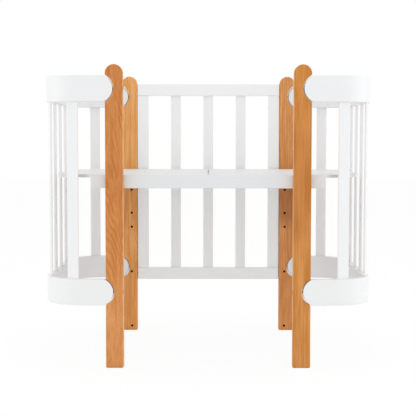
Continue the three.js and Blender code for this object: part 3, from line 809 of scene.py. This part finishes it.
board_face = white_board("board_face")
board_edge = sawn_edge("board_edge")
for name in ("mattress_board_left", "mattress_board_right"):
    low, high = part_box(name)
    side_x = math.copysign(1, low.x + high.x)
    seam = min(abs(low.x), abs(high.x))
    end = max(abs(low.x), abs(high.x)) - BOARD_CORNER_ROUND
    side = high.y - BOARD_CORNER_ROUND
    outline = [(seam, low.y)]
    outline += arc(end, -side, BOARD_CORNER_ROUND, -QUARTER_TURN, 0, BOARD_CORNER_STEPS)
    outline += arc(end, side, BOARD_CORNER_ROUND, 0, QUARTER_TURN, BOARD_CORNER_STEPS)
    outline += [(seam, high.y)]
    sheet = slab(outline, lambda u, v: (side_x * u, v, low.z), Vector((0, 0, high.z - low.z)))
    board = new_piece(name + "_sheet", sheet, BOARD_EDGE_ROUND, BOARD_EDGE_STEPS)
    dress(board, board_face, "base", "white_board", name)
    board.data.materials.append(board_edge)
    sawn = board.data.materials.find(board_edge.name)
    for face in board.data.polygons:
        if abs(face.normal.z) < SAWN_EDGE_SLOPE:
            face.material_index = sawn

# Bolts
# Dark zinc plated bolts with a round head and a hexagon socket. Eight draw the noses into
# the posts and are sunk in the posts' inner edges. Four hold the base: they rest backed out
# of the posts, as they are while its height is changed, and ride on bodies of their own.
BOLT_HEAD_RADIUS = 0.006
BOLT_HEAD_HEIGHT = 0.004
BOLT_RADIUS = 0.003
BOLT_RIM = 0.0007
SOCKET_APOTHEM = 0.002
SOCKET_DEPTH = 0.0025
THREAD_PITCH = 0.001
THREAD_DEPTH = 0.0004
THREAD_LENGTH = 0.018
THREAD_STEPS = 6
BOLT_SIDES = 24
PLATE_RATE = (900, 900, 900)
PLATE_RELIEF = 0.0001


def zinc(name):
    """Dark zinc plate on steel, satin with a faint turned grain."""
    finish = Finish(name)
    grain = finish.noise(finish.place(PLATE_RATE))
    worn = finish.ramp(grain, 0.35, 0.7)
    finish.colour(finish.mix(worn, (0.100, 0.102, 0.108), (0.055, 0.056, 0.060)))
    finish.roughness(finish.ramp(grain, 0.3, 0.7, 0.24, 0.36))
    finish.bump(grain, 0.06, PLATE_RELIEF)
    finish.set(finish.shader, Metallic=1.0)
    return finish.material


def hexagon(angle):
    """Distance from the middle of a hexagon socket to its wall at an angle."""
    sixth = math.pi / 3
    return SOCKET_APOTHEM / math.cos(angle % sixth - sixth / 2)


def thread_at(distance, crest, depth, pitch):
    """Radius of a thread round its axis at a distance, rising once each turn."""
    def radius(angle):
        phase = (distance / pitch - angle / (2 * math.pi)) % 1
        return crest - depth * abs(2 * phase - 1)
    return radius


def bolt_body(head, direction, length):
    """A bolt whose head's outer face lies at head, with its length along direction."""
    rows = [
        (SOCKET_DEPTH, hexagon), (0.0, hexagon), (0.0, BOLT_HEAD_RADIUS - BOLT_RIM),
        (BOLT_RIM, BOLT_HEAD_RADIUS), (BOLT_HEAD_HEIGHT, BOLT_HEAD_RADIUS),
        (BOLT_HEAD_HEIGHT, BOLT_RADIUS),
    ]
    start = max(BOLT_HEAD_HEIGHT + BOLT_RIM, length - THREAD_LENGTH)
    rows.append((start, BOLT_RADIUS))
    steps = round((length - BOLT_RIM - start) / THREAD_PITCH * THREAD_STEPS)
    for i in range(1, steps + 1):
        distance = start + i * THREAD_PITCH / THREAD_STEPS
        rows.append((distance, thread_at(distance, BOLT_RADIUS, THREAD_DEPTH, THREAD_PITCH)))
    rows.append((length, BOLT_RADIUS - THREAD_DEPTH - BOLT_RIM))
    return turned(bmesh.new(), rows, head, direction, BOLT_SIDES)


zinc_plate = zinc("zinc_plate")
for side_y, place_y in ((-1, "front"), (1, "back")):
    for side_x, place_x in ((-1, "left"), (1, "right")):
        for level in ("top", "bottom"):
            name = f"bow_bolt_{level}_{place_y}_{place_x}"
            middle, size = middle_and_size(name)
            head = (middle.x - side_x * size.x / 2, middle.y, middle.z)
            bolt = new_piece(name + "_steel", bolt_body(head, (side_x, 0, 0), size.x))
            dress(bolt, zinc_plate, "stand", "zinc_steel", name)
        name = f"base_bolt_{place_y}_{place_x}"
        middle, size = middle_and_size(name)
        head = (middle.x, middle.y - side_y * size.y / 2, middle.z)
        bolt = new_piece(name + "_steel", bolt_body(head, (0, side_y, 0), size.y))
        dress(bolt, zinc_plate, f"bolt_{place_y}_{place_x}", "zinc_steel", name)

# Threaded inserts
# A steel sleeve with a coarse outer thread is screwed into each nose of the bows, and
# takes the bow bolt. They are out of sight once the crib is together.
INSERT_PITCH = 0.0025
INSERT_THREAD_DEPTH = 0.0009
INSERT_BORE_RADIUS = 0.0033


def sleeve_body(rim, direction, length, crest, bore):
    """A closed threaded sleeve: an outer wall, two rims and the wall of its bore."""
    rows = [(0.0, bore), (0.0, crest - INSERT_THREAD_DEPTH)]
    steps = round(length / INSERT_PITCH * THREAD_STEPS)
    for i in range(1, steps):
        distance = length * i / steps
        rows.append((distance, thread_at(distance, crest, INSERT_THREAD_DEPTH, INSERT_PITCH)))
    rows += [(length, crest - INSERT_THREAD_DEPTH), (length, bore)]
    sleeve = turned(bmesh.new(), rows, rim, direction, BOLT_SIDES)
    ends = [face for face in sleeve.faces if len(face.verts) > 4]
    bore_edges = [edge for face in ends for edge in face.edges]
    bmesh.ops.delete(sleeve, geom=ends, context="FACES_ONLY")
    bmesh.ops.bridge_loops(sleeve, edges=bore_edges)
    return sleeve


for level in ("top", "bottom"):
    for place_y in ("front", "back"):
        for side_x, place_x in ((-1, "left"), (1, "right")):
            name = f"bow_insert_{level}_{place_y}_{place_x}"
            middle, size = middle_and_size(name)
            rim = (middle.x - side_x * size.x / 2, middle.y, middle.z)
            sleeve = sleeve_body(rim, (side_x, 0, 0), size.x, size.z / 2, INSERT_BORE_RADIUS)
            insert = new_piece(name + "_sleeve", sleeve)
            dress(insert, zinc_plate, "stand", "zinc_steel", name)

# Studio
# A pale floor under a white surround, with a long low strip of light in front, a soft
# square light at each side and one overhead. The camera stands about 3 m in front of the
# open side, square on and a little above the base.
FLOOR_REACH = 14.0
FLOOR_WHITE = (0.96, 0.96, 0.96)
SHADOW_SHARE = 0.10
ROOM_LIGHT = 0.91
CAMERA_PLACE = (-0.001, -3.271, 0.660)
CAMERA_TILT = math.radians(90 - 3.64)
CAMERA_ROLL = math.radians(-0.07)
CAMERA_LENS = 90.0
CAMERA_SENSOR = 36.0
CAMERA_SHIFT = -0.008
LAMPS = (
    ("light_front", (0.0, -5.0, 0.45), 5.0, 0.8, 10),
    ("light_left", (-2.9, -0.3, 1.2), 2.0, 2.0, 10),
    ("light_right", (2.9, -0.3, 1.2), 2.0, 2.0, 13),
    ("light_top", (0.0, -0.4, 3.2), 2.0, 2.0, 9),
)

scene = bpy.context.scene
scene.view_settings.view_transform = "Standard"

floor_sheet = bmesh.new()
floor_corners = []
for u, v in ((-1, -1), (1, -1), (1, 1), (-1, 1)):
    floor_corners.append(floor_sheet.verts.new((FLOOR_REACH * u, FLOOR_REACH * v, 0)))
floor_sheet.faces.new(floor_corners)
studio_floor = new_piece("studio_floor", floor_sheet)
floor_finish = bpy.data.materials.new("floor_white")
floor_finish.use_nodes = True
tree = floor_finish.node_tree
tree.nodes.clear()
paint = tree.nodes.new("ShaderNodeBsdfDiffuse")
paint.inputs["Color"].default_value = (*FLOOR_WHITE, 1)
glow = tree.nodes.new("ShaderNodeEmission")
glow.inputs["Strength"].default_value = 1.0
rays = tree.nodes.new("ShaderNodeLightPath")
share = tree.nodes.new("ShaderNodeMath")
share.operation = "MULTIPLY"
share.inputs[1].default_value = 1 - SHADOW_SHARE
blend = tree.nodes.new("ShaderNodeMixShader")
out = tree.nodes.new("ShaderNodeOutputMaterial")
tree.links.new(rays.outputs["Is Camera Ray"], share.inputs[0])
tree.links.new(share.outputs[0], blend.inputs[0])
tree.links.new(paint.outputs[0], blend.inputs[1])
tree.links.new(glow.outputs[0], blend.inputs[2])
tree.links.new(blend.outputs[0], out.inputs["Surface"])
studio_floor.data.materials.append(floor_finish)

room = bpy.data.worlds.new("studio_room")
scene.world = room
room.use_nodes = True
tree = room.node_tree
tree.nodes.clear()
lighting = tree.nodes.new("ShaderNodeBackground")
lighting.inputs["Strength"].default_value = ROOM_LIGHT
backdrop = tree.nodes.new("ShaderNodeBackground")
backdrop.inputs["Strength"].default_value = 1.0
rays = tree.nodes.new("ShaderNodeLightPath")
seen = tree.nodes.new("ShaderNodeMath")
seen.operation = "MAXIMUM"
mirrored = tree.nodes.new("ShaderNodeMath")
mirrored.operation = "MAXIMUM"
blend = tree.nodes.new("ShaderNodeMixShader")
out = tree.nodes.new("ShaderNodeOutputWorld")
for source in (lighting, backdrop):
    source.inputs["Color"].default_value = (1, 1, 1, 1)
tree.links.new(rays.outputs["Is Glossy Ray"], mirrored.inputs[0])
tree.links.new(rays.outputs["Is Transmission Ray"], mirrored.inputs[1])
tree.links.new(rays.outputs["Is Camera Ray"], seen.inputs[0])
tree.links.new(mirrored.outputs[0], seen.inputs[1])
tree.links.new(seen.outputs[0], blend.inputs[0])
tree.links.new(lighting.outputs[0], blend.inputs[1])
tree.links.new(backdrop.outputs[0], blend.inputs[2])
tree.links.new(blend.outputs[0], out.inputs["Surface"])

lamp_aim = Vector((0, 0, bow_middle.z / 2))
for name, place, width, height, power in LAMPS:
    lamp = bpy.data.lights.new(name, "AREA")
    lamp.shape = "RECTANGLE"
    lamp.size = width
    lamp.size_y = height
    lamp.energy = power
    holder = bpy.data.objects.new(name, lamp)
    holder.location = place
    holder.rotation_euler = (lamp_aim - Vector(place)).to_track_quat("-Z", "Y").to_euler()
    scene.collection.objects.link(holder)

camera = bpy.data.objects.new("camera", bpy.data.cameras.new("camera"))
camera.data.lens = CAMERA_LENS
camera.data.sensor_width = CAMERA_SENSOR
camera.data.shift_y = CAMERA_SHIFT
camera.location = CAMERA_PLACE
camera.rotation_euler = (CAMERA_TILT, CAMERA_ROLL, 0)
scene.collection.objects.link(camera)
scene.camera = camera
